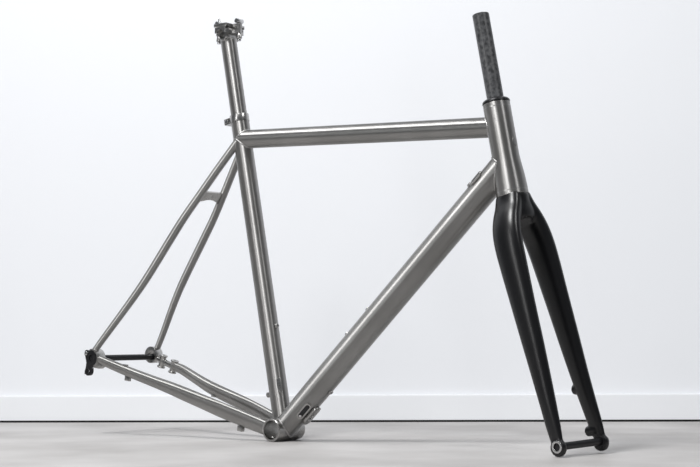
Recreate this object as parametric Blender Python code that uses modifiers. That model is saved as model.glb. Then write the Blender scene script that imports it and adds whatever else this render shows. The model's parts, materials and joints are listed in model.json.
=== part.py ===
"""Titanium all-road bicycle frame with its carbon fork, headset, seatpost and thru axles.

Metres, +Z up, +X forward, +Y to the rider's left. Everything is laid out in the riding
frame, whose origin is the centre of the bottom bracket shell. One empty then pitches the
whole frame nose down, so that it stands on the shell and on the fork tips.
"""

from math import asin, atan2, cos, hypot, pi, radians, sin, sqrt

import bmesh
import bpy
from mathutils import Matrix, Vector

# --- driving dimensions of the frame -------------------------------------------------
CHAINSTAY_LENGTH = 0.438
BB_DROP = 0.076
SEAT_ANGLE = radians(72.2)
HEAD_ANGLE = radians(72.0)
FRONT_CENTRE_X = 0.620
FORK_LENGTH = 0.422
FORK_RAKE = 0.047
STEER_TURN = radians(-7.8)
STAND_X = -0.10425

HEAD_LENGTH = 0.160
HEAD_R = 0.0230
HEAD_FOOT_R = 0.02725
STEERER_ABOVE_HEAD = 0.158
STEERER_R = 0.0143
STEERER_FOOT_R = 0.0198
STEERER_WALL = 0.0028

SHELL_R = 0.0208
SHELL_BORE_R = 0.0173
SHELL_WIDTH = 0.073

TUBE_WALL = 0.0015
TOP_TUBE_R = 0.01745
DOWN_TUBE_R = 0.02375
SEAT_TUBE_R = 0.01745
SEAT_BORE_R = 0.01575
SEAT_NECK_R = 0.0166
SEAT_NECK_LENGTH = 0.0140
COLLAR_R = 0.0184
SEAT_TUBE_LENGTH = 0.601
TOP_TUBE_ON_SEAT = 0.554
TOP_TUBE_BELOW_HEAD_TOP = 0.0405
DOWN_TUBE_ABOVE_CROWN = 0.0574

POST_R = 0.01545
POST_WALL = 0.0022
POST_LENGTH = 0.350
CLAMP_ON_SEAT = 0.7600
CLAMP_SET_FORWARD = 0.0033
CLAMP_TILT = radians(-7.0)

REAR_SPACING = 0.142
DROPOUT_R = 0.0183
DROPOUT_OUTER_Y = 0.089
OVERALL_HALF_WIDTH = 0.095
FRONT_SPACING = 0.100
FORK_TIP_DROP = 0.0157
FORK_RIM_R = 0.0140
FORK_TIP_OUTER_Y = 0.0602
AXLE_R = 0.0060
AXLE_HOLE_R = 0.0063

GAP = 0.0003
ROUND = 24
SMALL_ROUND = 12

# --- points and directions in the riding frame ---------------------------------------
SEAT_DIR = Vector((-cos(SEAT_ANGLE), 0, sin(SEAT_ANGLE)))
SEAT_FRONT = Vector((sin(SEAT_ANGLE), 0, cos(SEAT_ANGLE)))
HEAD_DIR = Vector((-cos(HEAD_ANGLE), 0, sin(HEAD_ANGLE)))
HEAD_FRONT = Vector((sin(HEAD_ANGLE), 0, cos(HEAD_ANGLE)))
SIDE = Vector((0, 1, 0))

BB = Vector((0, 0, 0))
REAR_AXLE = Vector((-sqrt(CHAINSTAY_LENGTH ** 2 - BB_DROP ** 2), 0, BB_DROP))
FRONT_AXLE = Vector((FRONT_CENTRE_X, 0, BB_DROP))
FORK_DROP = sqrt(FORK_LENGTH ** 2 - FORK_RAKE ** 2)
CROWN = FRONT_AXLE - HEAD_FRONT * FORK_RAKE + HEAD_DIR * FORK_DROP
HEAD_TOP = CROWN + HEAD_DIR * HEAD_LENGTH
TOP_REAR = SEAT_DIR * TOP_TUBE_ON_SEAT
TOP_FRONT = HEAD_TOP - HEAD_DIR * TOP_TUBE_BELOW_HEAD_TOP
DOWN_FRONT = CROWN + HEAD_DIR * DOWN_TUBE_ABOVE_CROWN
DOWN_DIR = DOWN_FRONT.normalized()
DOWN_UNDER = Vector((DOWN_DIR.z, 0, -DOWN_DIR.x))
CLAMP_CENTRE = SEAT_DIR * CLAMP_ON_SEAT + Vector((CLAMP_SET_FORWARD, 0, 0))

# --- named colours: base colour, roughness, metallic ----------------------------------
FINISHES = {
    "titanium": ((0.46, 0.45, 0.44), 0.32, 1.0),
    "steel": ((0.62, 0.61, 0.60), 0.25, 1.0),
    "black_alloy": ((0.02, 0.02, 0.022), 0.38, 0.6),
    "carbon": ((0.018, 0.019, 0.022), 0.42, 0.0),
    "steerer_carbon": ((0.05, 0.052, 0.056), 0.35, 0.1),
}


def clear_scene():
    for scene_object in list(bpy.data.objects):
        bpy.data.objects.remove(scene_object, do_unlink=True)


def new_collection(name):
    collection = bpy.data.collections.new(name)
    bpy.context.scene.collection.children.link(collection)
    return collection


def make_material(node_name, finish):
    colour, roughness, metallic = FINISHES[finish]
    material = bpy.data.materials.new(node_name + "_" + finish)
    material.use_nodes = True
    shader = material.node_tree.nodes["Principled BSDF"]
    shader.inputs["Base Color"].default_value = (*colour, 1.0)
    shader.inputs["Roughness"].default_value = roughness
    shader.inputs["Metallic"].default_value = metallic
    return material


clear_scene()
PARTS = new_collection("bicycle_frame")
CUTTERS = new_collection("cutters")


def make_empty(name, parent=None, matrix=Matrix()):
    empty = bpy.data.objects.new(name, None)
    empty.empty_display_size = 0.03
    empty.parent = parent
    empty.matrix_local = matrix
    PARTS.objects.link(empty)
    return empty


def finish_part(part, finish):
    """Give a finished solid its material and smooth shading, and list it with the parts."""
    part.data.materials.append(make_material(part.name, finish))
    part.data.shade_smooth()
    part.data.set_sharp_from_angle(angle=radians(35))
    return part


def to_cutter(part):
    CUTTERS.objects.link(part)
    PARTS.objects.unlink(part)
    part.hide_render = True
    part.display_type = "WIRE"
    return part


def add_mesh(name, mesh, parent, matrix=Matrix()):
    part = bpy.data.objects.new(name, mesh)
    PARTS.objects.link(part)
    part.parent = parent
    part.matrix_local = matrix
    return part


def frame_matrix(origin, z_axis, x_hint):
    """A placement whose local Z runs along z_axis and whose local X leans to x_hint."""
    z_dir = z_axis.normalized()
    y_dir = z_dir.cross(x_hint).normalized()
    x_dir = y_dir.cross(z_dir)
    rotation = Matrix((x_dir, y_dir, z_dir)).transposed().to_4x4()
    return Matrix.Translation(origin) @ rotation


def lathe(name, profile, parent, matrix=Matrix(), steps=ROUND):
    """Turn a closed (radius, height) profile about local Z.

    The profile runs down the outer side first and back up the bore or the axis.
    """
    mesh = bpy.data.meshes.new(name)
    points = [(radius, 0, height) for radius, height in profile]
    closed = all(radius > 0 for radius, _ in profile)
    edges = [(i, i + 1) for i in range(len(points) - 1)]
    if closed:
        edges.append((len(points) - 1, 0))
    mesh.from_pydata(points, edges, [])
    part = add_mesh(name, mesh, parent, matrix)
    screw = part.modifiers.new("turn", "SCREW")
    screw.axis = "Z"
    screw.angle = 2 * pi
    screw.steps = steps
    screw.render_steps = steps
    screw.use_merge_vertices = True
    screw.merge_threshold = 0.00001
    return part


def ring_profile(outer, bore, low, high):
    return [(outer, high), (outer, low), (bore, low), (bore, high)]


def disc_profile(outer, low, high):
    return [(0, high), (outer, high), (outer, low), (0, low)]


def bake(part):
    """Replace a part's modifiers by the mesh that they make."""
    bpy.context.view_layer.update()
    graph = bpy.context.evaluated_depsgraph_get()
    mesh = bpy.data.meshes.new_from_object(part.evaluated_get(graph))
    part.modifiers.clear()
    part.data = mesh
    return part


def combine(part, other, operation):
    boolean = part.modifiers.new(operation.lower(), "BOOLEAN")
    boolean.operation = operation
    boolean.solver = "EXACT"
    boolean.object = other
    return part


def cut(part, *cutters):
    for cutter in cutters:
        combine(part, cutter, "DIFFERENCE")
    return part


def join(part, *others):
    """Union the other solids into part, and remove them."""
    for other in others:
        combine(part, other, "UNION")
    bake(part)
    for other in others:
        bpy.data.objects.remove(other, do_unlink=True)
    return part


def along_frame(start, end):
    axis = end - start
    sideways = abs(axis.normalized().y) > 0.9
    return frame_matrix(start, axis, Vector((1, 0, 0)) if sideways else SIDE)


def rod(name, start, end, radius, parent, steps=ROUND):
    profile = disc_profile(radius, 0, (end - start).length)
    return lathe(name, profile, parent, along_frame(start, end), steps)


def tube(name, start, end, radius, bore, parent, steps=ROUND):
    profile = ring_profile(radius, bore, 0, (end - start).length)
    return lathe(name, profile, parent, along_frame(start, end), steps)


def box(name, size, centre, parent, rotation=Matrix()):
    mesh = bpy.data.meshes.new(name)
    form = bmesh.new()
    bmesh.ops.create_cube(form, size=1.0)
    bmesh.ops.scale(form, vec=Vector(size), verts=form.verts)
    form.to_mesh(mesh)
    form.free()
    return add_mesh(name, mesh, parent, Matrix.Translation(centre) @ rotation.to_4x4())


def plate(name, outline, thickness, parent, matrix):
    """A flat outline in local X and Y, filled and extruded to both sides of its plane."""
    curve = bpy.data.curves.new(name, "CURVE")
    curve.dimensions = "2D"
    curve.fill_mode = "BOTH"
    curve.extrude = thickness / 2
    spline = curve.splines.new("POLY")
    spline.points.add(len(outline) - 1)
    for point, (x, y) in zip(spline.points, outline):
        point.co = (x, y, 0, 1)
    spline.use_cyclic_u = True
    flat = add_mesh(name + "_outline", curve, parent, matrix)
    bpy.context.view_layer.update()
    graph = bpy.context.evaluated_depsgraph_get()
    mesh = bpy.data.meshes.new_from_object(flat.evaluated_get(graph))
    form = bmesh.new()
    form.from_mesh(mesh)
    bmesh.ops.remove_doubles(form, verts=form.verts, dist=0.000001)
    bmesh.ops.recalc_face_normals(form, faces=form.faces)
    form.to_mesh(mesh)
    form.free()
    bpy.data.objects.remove(flat, do_unlink=True)
    return add_mesh(name, mesh, parent, matrix)


def arc(centre, radius, start, end, count):
    """Points of a circular arc, with angles in degrees."""
    angles = [radians(start + (end - start) * i / (count - 1)) for i in range(count)]
    return [(centre[0] + radius * cos(a), centre[1] + radius * sin(a)) for a in angles]


def smooth_table(rows, count):
    """Resample rows of numbers at even arc length of a Catmull-Rom spline through them."""
    padded = [rows[0], *rows, rows[-1]]
    fine = []
    for i in range(1, len(padded) - 2):
        before, first, second, after = padded[i - 1:i + 3]
        for step in range(8):
            t = step / 8
            fine.append([
                0.5 * (2 * b + (c - a) * t + (2 * a - 5 * b + 4 * c - d) * t * t
                       + (3 * b - a - 3 * c + d) * t ** 3)
                for a, b, c, d in zip(before, first, second, after)
            ])
    fine.append(list(rows[-1]))
    lengths = [0.0]
    for one, two in zip(fine, fine[1:]):
        lengths.append(lengths[-1] + (Vector(two[:3]) - Vector(one[:3])).length)
    result = []
    segment = 0
    for i in range(count):
        target = lengths[-1] * i / (count - 1)
        while segment < len(fine) - 2 and lengths[segment + 1] < target:
            segment += 1
        span = lengths[segment + 1] - lengths[segment]
        t = (target - lengths[segment]) / span
        result.append([a + (b - a) * t for a, b in zip(fine[segment], fine[segment + 1])])
    return result


def section_ring(form, row, direction, inset, steps, power):
    """One ring of a loft: row holds centre x, y, z, half width sideways, half height."""
    centre = Vector(row[:3])
    across = (SIDE - direction * SIDE.dot(direction)).normalized()
    upward = across.cross(direction).normalized()
    half_width = row[3] - inset
    half_height = row[4] - inset
    ring = []
    for i in range(steps):
        angle = 2 * pi * i / steps
        c = cos(angle)
        s = sin(angle)
        x = half_width * abs(c) ** power * (1 if c >= 0 else -1)
        z = half_height * abs(s) ** power * (1 if s >= 0 else -1)
        ring.append(form.verts.new(centre + across * x + upward * z))
    return ring


def loft(name, rows, parent, wall=None, steps=24, power=1.0):
    """A tube or a bar through oval sections; with a wall it is hollow and open ended."""
    form = bmesh.new()
    directions = []
    for i in range(len(rows)):
        low = Vector(rows[max(i - 1, 0)][:3])
        high = Vector(rows[min(i + 1, len(rows) - 1)][:3])
        directions.append((high - low).normalized())
    outer = [section_ring(form, row, d, 0, steps, power) for row, d in zip(rows, directions)]
    skins = [outer]
    if wall:
        skins.append([section_ring(form, row, d, wall, steps, power)
                      for row, d in zip(rows, directions)])
    for skin in skins:
        for one, two in zip(skin, skin[1:]):
            for i in range(steps):
                j = (i + 1) % steps
                form.faces.new((one[i], one[j], two[j], two[i]))
    for end in (0, -1):
        if wall:
            for i in range(steps):
                j = (i + 1) % steps
                form.faces.new((outer[end][i], outer[end][j],
                                skins[1][end][j], skins[1][end][i]))
        else:
            form.faces.new(outer[end])
    bmesh.ops.recalc_face_normals(form, faces=form.faces)
    mesh = bpy.data.meshes.new(name)
    form.to_mesh(mesh)
    form.free()
    return add_mesh(name, mesh, parent)


def fatten(rows, extra):
    return [[*row[:3], row[3] + extra, row[4] + extra] for row in rows]


def mirrored(rows):
    return [[row[0], -row[1], *row[2:]] for row in rows]


# --- the two groups: the frame, and the fork about its steering axis -------------------
def fork_tip_centre():
    turned_front = HEAD_FRONT * cos(STEER_TURN) + SIDE * sin(STEER_TURN)
    turned_side = SIDE * cos(STEER_TURN) - HEAD_FRONT * sin(STEER_TURN)
    rim_y = FORK_TIP_OUTER_Y - 0.0015
    return CROWN - HEAD_DIR * FORK_DROP + turned_front * FORK_RAKE - turned_side * rim_y


TIP = fork_tip_centre()
PITCH = atan2(TIP.z, TIP.x) - asin((FORK_TIP_DROP - SHELL_R) / hypot(TIP.x, TIP.z))

STAND_PLACE = Matrix.Translation((STAND_X, 0, SHELL_R)) @ Matrix.Rotation(PITCH, 4, "Y")
HEAD_PLACE = frame_matrix(CROWN, HEAD_DIR, HEAD_FRONT)
TURN = Matrix.Rotation(STEER_TURN, 4, "Z")
FLOORWARD = STAND_PLACE.to_3x3().inverted() @ Vector((0, 0, -1))
FORK_FLOORWARD = (STAND_PLACE @ HEAD_PLACE @ TURN).to_3x3().inverted() @ Vector((0, 0, -1))

STAND = make_empty("standing_frame", None, STAND_PLACE)
HEAD_AXIS = make_empty("head_axis", STAND, HEAD_PLACE)
STEERING = make_empty("steering", HEAD_AXIS, TURN)
SEAT_AXIS = make_empty("seat_axis", STAND, frame_matrix(BB, SEAT_DIR, SEAT_FRONT))
DOWN_AXIS = make_empty("down_axis", STAND, frame_matrix(BB, DOWN_DIR, DOWN_UNDER))
SADDLE_CLAMP = make_empty("saddle_clamp", STAND, Matrix.Translation(CLAMP_CENTRE)
                          @ Matrix.Rotation(CLAMP_TILT, 4, "Y"))
REAR_HUB = make_empty("rear_hub", STAND, frame_matrix(REAR_AXLE, -SIDE, Vector((1, 0, 0))))


# --- head tube and headset ------------------------------------------------------------
def head_profile(extra, bored):
    flare = [(HEAD_R, HEAD_LENGTH), (HEAD_R, 0.068), (0.0236, 0.058), (0.0247, 0.047),
             (0.0259, 0.035), (0.0267, 0.022), (0.0271, 0.010), (HEAD_FOOT_R, 0)]
    outer = [(radius + extra, height) for radius, height in flare]
    if not bored:
        return [(0, HEAD_LENGTH), *outer, (0, 0)]
    return outer + [(0.0259, 0), (0.0259, 0.0098), (0.0205, 0.0098),
                    (0.0205, 0.1500), (0.0220, 0.1500), (0.0220, HEAD_LENGTH)]


def make_head():
    head = lathe("head_tube", head_profile(0, True), HEAD_AXIS)
    finish_part(head, "titanium")
    cutter = to_cutter(lathe("head_cutter", head_profile(GAP, False), HEAD_AXIS))
    rings = (
        ("upper_bearing", 0.0217, 0.01475, 0.1510, 0.1578, HEAD_AXIS, "steel"),
        ("lower_bearing", 0.0256, 0.0202, 0.0014, 0.0094, HEAD_AXIS, "steel"),
        ("compression_ring", 0.0175, 0.0146, 0.1581, 0.1603, STEERING, "steel"),
        ("crown_race", 0.0252, 0.0201, -0.0005, 0.0010, STEERING, "steel"),
    )
    for name, outer, bore, low, high, parent, finish in rings:
        ring = lathe(name, ring_profile(outer, bore, low, high), parent)
        finish_part(ring, finish)
    cover = [(0.0163, 0.1676), (0.0200, 0.1668), (0.0228, 0.1645), (0.0236, 0.1620),
             (0.0234, 0.1606), (0.0147, 0.1606), (0.0147, 0.1676)]
    finish_part(lathe("headset_top_cover", cover, STEERING), "black_alloy")
    return cutter


# --- main tubes -------------------------------------------------------------------------
def down_tube_rows():
    """Round over most of its length, wide and low at the shell, narrow at the head."""
    length = DOWN_FRONT.length
    stations = ((0.0, 0.0258, 0.0203), (0.030, 0.0254, 0.0210), (0.075, 0.0245, 0.0228),
                (0.130, DOWN_TUBE_R, DOWN_TUBE_R), (0.300, DOWN_TUBE_R, DOWN_TUBE_R),
                (0.560, DOWN_TUBE_R, DOWN_TUBE_R), (0.630, 0.0227, 0.0241),
                (length, 0.0226, 0.0242))
    return [[*(DOWN_DIR * along), wide, high] for along, wide, high in stations]


def make_main_tubes(head_cutter):
    shell_profile = ring_profile(SHELL_R, SHELL_BORE_R, -SHELL_WIDTH / 2, SHELL_WIDTH / 2)
    shell_place = frame_matrix(BB, SIDE, FLOORWARD)
    shell = lathe("bottom_bracket_shell", shell_profile, STAND, shell_place, 32)
    finish_part(shell, "titanium")
    solid_shell = disc_profile(SHELL_R + GAP, -SHELL_WIDTH / 2 - 0.01, SHELL_WIDTH / 2 + 0.01)
    shell_cutter = to_cutter(lathe("shell_cutter", solid_shell, STAND, shell_place, 32))

    neck = SEAT_TUBE_LENGTH - SEAT_NECK_LENGTH
    seat_profile = [(SEAT_NECK_R, SEAT_TUBE_LENGTH), (SEAT_NECK_R, neck), (SEAT_TUBE_R, neck),
                    (SEAT_TUBE_R, 0), (SEAT_BORE_R, 0), (SEAT_BORE_R, SEAT_TUBE_LENGTH)]
    seat = lathe("seat_tube", seat_profile, SEAT_AXIS)
    finish_part(cut(seat, shell_cutter), "titanium")
    seat_cutter = to_cutter(rod("seat_cutter", BB, SEAT_DIR * (SEAT_TUBE_LENGTH + 0.01),
                                SEAT_TUBE_R + GAP, STAND))

    down = loft("down_tube", down_tube_rows(), STAND, TUBE_WALL, ROUND)
    cut(down, seat_cutter, shell_cutter, head_cutter)
    finish_part(down, "titanium")
    down_cutter = to_cutter(loft("down_cutter", fatten(down_tube_rows(), GAP), STAND,
                                 None, ROUND))

    top = tube("top_tube", TOP_REAR, TOP_FRONT, TOP_TUBE_R, TOP_TUBE_R - TUBE_WALL, STAND)
    finish_part(cut(top, seat_cutter, head_cutter), "titanium")
    return shell_cutter, seat_cutter, down_cutter


# --- stays ------------------------------------------------------------------------------
def chainstay_rows(rear):
    """Left chainstay: tall and narrow by the tyre, then spread out to the dropout."""
    rows = [
        (-0.010, 0.0265, -0.0010, 0.0080, 0.0134), (-0.040, 0.0310, 0.0045, 0.0080, 0.0140),
        (-0.080, 0.0368, 0.0118, 0.0080, 0.0145), (-0.122, 0.0425, 0.0195, 0.0078, 0.0144),
        (-0.160, 0.0460, 0.0268, 0.0092, 0.0137), (-0.210, 0.0490, 0.0356, 0.0103, 0.0130),
        (-0.245, 0.0525, 0.0422, 0.0104, 0.0121), (-0.278, 0.0598, 0.0486, 0.0100, 0.0109),
        (-0.336, 0.0740, 0.0602, 0.0091, 0.0099),
    ]
    return rows + list(rear)


CHAINSTAY_TO_DROPOUT = ((-0.372, 0.0812, 0.0676, 0.0086, 0.0092),
                        (-0.399, 0.0830, 0.0724, 0.0082, 0.0087),
                        (-0.419, 0.0830, 0.0758, 0.0080, 0.0084))
CHAINSTAY_TO_BRAKE = ((-0.352, 0.0765, 0.0630, 0.0088, 0.0095),
                      (-0.368, 0.0765, 0.0655, 0.0086, 0.0092))

SEATSTAY_ROWS = (
    (-0.1677, 0.0086, 0.5300, 0.0076, 0.0076), (-0.1840, 0.0140, 0.5030, 0.0076, 0.0076),
    (-0.2090, 0.0226, 0.4620, 0.0076, 0.0076), (-0.2380, 0.0323, 0.4130, 0.0076, 0.0076),
    (-0.2640, 0.0402, 0.3700, 0.0077, 0.0077), (-0.2875, 0.0442, 0.3310, 0.0079, 0.0079),
    (-0.3333, 0.0508, 0.2540, 0.0078, 0.0078), (-0.3568, 0.0564, 0.2150, 0.0075, 0.0075),
    (-0.3800, 0.0649, 0.1760, 0.0071, 0.0071), (-0.4030, 0.0747, 0.1370, 0.0067, 0.0067),
    (-0.4204, 0.0815, 0.1080, 0.0064, 0.0064), (-0.4347, 0.0861, 0.0840, 0.0062, 0.0062),
)


def make_stays(shell_cutter, seat_cutter, hub_cutters):
    right_rows = smooth_table(mirrored(chainstay_rows(CHAINSTAY_TO_DROPOUT)), 17)
    left_rows = smooth_table(chainstay_rows(CHAINSTAY_TO_BRAKE), 16)
    chain_cutters = {}
    post_cutter = to_cutter(lathe("post_cutter", disc_profile(BRAKE_FLANGE_R + GAP, -0.02, 0.02),
                                  REAR_HUB, brake_post_place(BRAKE_POSTS[1])))
    ends = {"right": hub_cutters["right"], "left": post_cutter}
    for side, rows in (("right", right_rows), ("left", left_rows)):
        stay = loft("chainstay_" + side, rows, STAND, 0.0012, 16)
        cut(stay, shell_cutter, seat_cutter, ends[side])
        finish_part(stay, "titanium")
        chain_cutters[side] = to_cutter(loft("chainstay_cutter_" + side, fatten(rows, GAP),
                                             STAND, None, 16))
    seat_cutters = {}
    for side in ("right", "left"):
        table = SEATSTAY_ROWS if side == "left" else mirrored(SEATSTAY_ROWS)
        rows = smooth_table(table, 16)
        stay = loft("seatstay_" + side, rows, STAND, 0.0012, 12)
        cut(stay, seat_cutter, hub_cutters[side])
        finish_part(stay, "titanium")
        seat_cutters[side] = to_cutter(loft("seatstay_cutter_" + side, fatten(rows, GAP),
                                            STAND, None, 12))
    return chain_cutters, seat_cutters


def make_bridge(seatstay_cutters):
    """A gusset plate between the seatstays, arched below, with one hole for a guard."""
    half = 0.0325
    top = 0.0110
    foot = -0.0125
    arch = arc((0, -0.0495), 0.0440, 140, 40, 9)
    outline = [(-half, foot), *[(x, y) for x, y in arch if y > foot],
               (half, foot), (half, top), (-half, top)]
    outline.reverse()
    upper, lower = (Vector((row[0], 0, row[2])) for row in SEATSTAY_ROWS[2:4])
    place = frame_matrix(lower, SIDE.cross((upper - lower).normalized()), SIDE)
    bridge = plate("seatstay_bridge", outline, 0.005, STAND, place)
    hole = to_cutter(lathe("bridge_hole", disc_profile(0.0030, -0.01, 0.01), STAND,
                           place @ Matrix.Translation((0, 0.003, 0)), SMALL_ROUND))
    cut(bridge, hole, seatstay_cutters["left"], seatstay_cutters["right"])
    return finish_part(bridge, "titanium")


# --- dropouts, hanger and rear axle: local X forward, Y up, Z towards the right side ------
LEFT_HOOD_R = 0.0170
LEFT_HOOD_SHIFT = Matrix.Translation((-0.0018, 0.0042, 0))
HANGER_BOLT = (-0.0138, 0.0080)
HANGER_EYE = (-0.0055, -0.0262)


def hub_disc(name, radius, low, high, steps=ROUND):
    return lathe(name, disc_profile(radius, low, high), REAR_HUB, Matrix(), steps)


def make_hub_cutters():
    inner = REAR_SPACING / 2 - 0.002
    outer = DROPOUT_OUTER_Y + 0.008
    right = to_cutter(hub_disc("hub_cutter_right", DROPOUT_R + GAP, inner, outer))
    left = to_cutter(lathe("hub_cutter_left", disc_profile(LEFT_HOOD_R + GAP, -outer, -inner),
                           REAR_HUB, LEFT_HOOD_SHIFT))
    return {"right": right, "left": left}


def make_right_dropout(chain_cutter, seatstay_cutter):
    inner = REAR_SPACING / 2
    body = hub_disc("dropout_right", DROPOUT_R, inner, DROPOUT_OUTER_Y)
    rim = lathe("dropout_rim", ring_profile(DROPOUT_R, 0.0160, 0.0855, 0.0925), REAR_HUB)
    opening = box("rim_opening", (0.040, 0.070, 0.010), (-0.0163, -0.0080, 0.09405),
                  REAR_HUB, Matrix.Rotation(radians(26), 3, "Z"))
    cut(rim, opening)
    bake(rim)
    bpy.data.objects.remove(opening, do_unlink=True)
    gusset_outline = [(0.0000, -0.0180), (0.0210, -0.0180), (0.0290, -0.0125),
                      (0.0330, 0.0000), (0.0100, 0.0050), (0.0000, 0.0050)]
    gusset = plate("dropout_gusset", gusset_outline, 0.0110, REAR_HUB,
                   Matrix.Translation((0, 0, 0.0830)))
    cut(gusset, chain_cutter, seatstay_cutter)
    bake(gusset)
    join(body, rim, gusset)
    hole = to_cutter(hub_disc("axle_hole_right", AXLE_HOLE_R, 0.06, 0.11, 24))
    seat = to_cutter(hub_disc("hub_seat_right", 0.0105, inner - 0.01, inner + 0.004))
    cut(body, hole, seat)
    return finish_part(body, "titanium")


BRAKE_POSTS = (Vector((0.0275, -0.0053, -0.0775)), Vector((0.0612, -0.0117, -0.0765)))
BRAKE_HOLE_R = 0.0028
BRAKE_HOLE_DEPTH = 0.0060
BRAKE_FLANGE_R = 0.0084
BRAKE_POST_R = 0.0066
BRAKE_POST_HALF = 0.0130


def brake_post_place(centre):
    along = (BRAKE_POSTS[1] - BRAKE_POSTS[0]).normalized()
    upward = Vector((-along.y, along.x, 0))
    return frame_matrix(centre, upward, along)


def make_left_dropout():
    """The left dropout carries the two posts of the flat-mount disc brake."""
    inner = REAR_SPACING / 2
    body = lathe("dropout_left", disc_profile(LEFT_HOOD_R, -DROPOUT_OUTER_Y, -inner), REAR_HUB,
                 LEFT_HOOD_SHIFT)
    along = (BRAKE_POSTS[1] - BRAKE_POSTS[0]).normalized()
    neck = rod("brake_neck", BRAKE_POSTS[0] - along * 0.015, BRAKE_POSTS[1] - along * 0.004,
               0.0062, REAR_HUB, 20)
    pieces = [neck]
    half = BRAKE_POST_HALF
    floor = half - BRAKE_HOLE_DEPTH
    for i, post in enumerate(BRAKE_POSTS):
        profile = [(0, floor), (BRAKE_HOLE_R, floor), (BRAKE_HOLE_R, half),
                   (BRAKE_FLANGE_R, half), (BRAKE_FLANGE_R, half - 0.0025),
                   (BRAKE_POST_R, half - 0.0035), (BRAKE_POST_R, -half + 0.0035),
                   (BRAKE_FLANGE_R, -half + 0.0025), (BRAKE_FLANGE_R, -half),
                   (BRAKE_HOLE_R, -half), (BRAKE_HOLE_R, -floor), (0, -floor)]
        pieces.append(lathe("brake_post_%d" % i, profile, REAR_HUB, brake_post_place(post), 24))
    join(body, *pieces)
    hub_seat = inner + 0.004
    head_seat = 0.0862
    bore_profile = [(0, 0.01 - inner), (0.0105, 0.01 - inner), (0.0105, -hub_seat),
                    (AXLE_HOLE_R, -hub_seat), (AXLE_HOLE_R, -head_seat),
                    (0.0104, -head_seat), (0.0104, -0.10), (0, -0.10)]
    cut(body, to_cutter(lathe("axle_bore_left", bore_profile, REAR_HUB, Matrix(), 24)))
    return finish_part(body, "titanium")


def make_hanger():
    """Black replaceable hanger: a plate in the rim, and a hooked arm with the bolt eye."""
    eye = HANGER_EYE
    bolt = HANGER_BOLT
    arm_left = [(-0.0142, -0.0335), (-0.0146, -0.0270), (-0.0125, -0.0200)]
    outline = (arc((0, 0), 0.0152, -40, 108, 12) + arc(bolt, 0.0066, 100, 240, 7)
               + [(-0.0120, -0.0100)] + arm_left[::-1] + arc(eye, 0.0090, 225, 360, 8)
               + [(0.0035, -0.0200), (0.0066, -0.0155)])
    hanger = plate("derailleur_hanger", outline, 0.0034, REAR_HUB,
                   Matrix.Translation((0, 0, 0.0912)))
    arm_outline = ([(-0.0120, -0.0196), (0.0030, -0.0196)]
                   + arc(eye, 0.0090, 225, 360, 8)[::-1] + arm_left)
    arm = plate("hanger_arm", arm_outline, 0.0060, REAR_HUB, Matrix.Translation((0, 0, 0.0884)))
    join(hanger, arm)
    bore = to_cutter(hub_disc("hanger_bore", AXLE_HOLE_R, 0.08, 0.10, 24))
    eye_hole = to_cutter(lathe("eye_hole", disc_profile(0.0044, 0.08, 0.10), REAR_HUB,
                               Matrix.Translation((*eye, 0)), SMALL_ROUND))
    cut(hanger, bore, eye_hole)
    finish_part(hanger, "black_alloy")
    head = lathe("hanger_bolt", disc_profile(0.0042, 0.0932, OVERALL_HALF_WIDTH), REAR_HUB,
                 Matrix.Translation((*bolt, 0)), SMALL_ROUND)
    finish_part(head, "steel")


def make_rear_axle():
    tip = 0.0915
    head = -0.0865
    profile = [(0, tip), (0.0050, tip), (AXLE_R, tip - 0.0015), (AXLE_R, head),
               (0.0100, head), (0.0100, 0.0015 - OVERALL_HALF_WIDTH),
               (0.0088, -OVERALL_HALF_WIDTH), (0, -OVERALL_HALF_WIDTH)]
    axle = lathe("rear_axle", profile, REAR_HUB, Matrix(), 24)
    socket = to_cutter(lathe("rear_axle_socket", disc_profile(0.0035, -0.11, -0.088), REAR_HUB,
                             Matrix(), 6))
    cut(axle, socket)
    return finish_part(axle, "black_alloy")


# --- fork: local Z up the steering axis from the crown seat, X forward, Y left -----------
CROWN_TOP = -0.0008
LEG_ROWS = (
    (0.0000, 0.0105, -0.0010, 0.0145, 0.0245), (0.0010, 0.0180, -0.0200, 0.0143, 0.0258),
    (0.0025, 0.0288, -0.0400, 0.0150, 0.0268), (0.0045, 0.0367, -0.0620, 0.0156, 0.0274),
    (0.0075, 0.0412, -0.0880, 0.0150, 0.0271), (0.0115, 0.0432, -0.1220, 0.0142, 0.0259),
    (0.0160, 0.0446, -0.1620, 0.0132, 0.0240), (0.0207, 0.0460, -0.2030, 0.0126, 0.0220),
    (0.0264, 0.0473, -0.2520, 0.0118, 0.0199), (0.0322, 0.0489, -0.3020, 0.0109, 0.0173),
    (0.0382, 0.0513, -0.3510, 0.0098, 0.0148), (0.0430, 0.0538, -0.3900, 0.0070, 0.0134),
    (0.0464, 0.0552, -0.4170, 0.0044, 0.0108),
)
BRAKE_BOSSES = ((-0.330, 0.0500), (-0.400, 0.0545))
BRAKE_FACE_BEHIND = 0.0205


def leg_centre(height):
    """Forward offset of the fork leg's centreline at a height below the crown."""
    for one, two in zip(LEG_ROWS, LEG_ROWS[1:]):
        if two[2] <= height:
            t = (height - one[2]) / (two[2] - one[2])
            return one[0] + (two[0] - one[0]) * t
    return LEG_ROWS[-1][0]


def tip_place(side):
    """On the front axle's line, local Z outward to one side, with a facet corner down."""
    return frame_matrix(Vector((FORK_RAKE, 0, -FORK_DROP)), SIDE * side, FORK_FLOORWARD)


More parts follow.
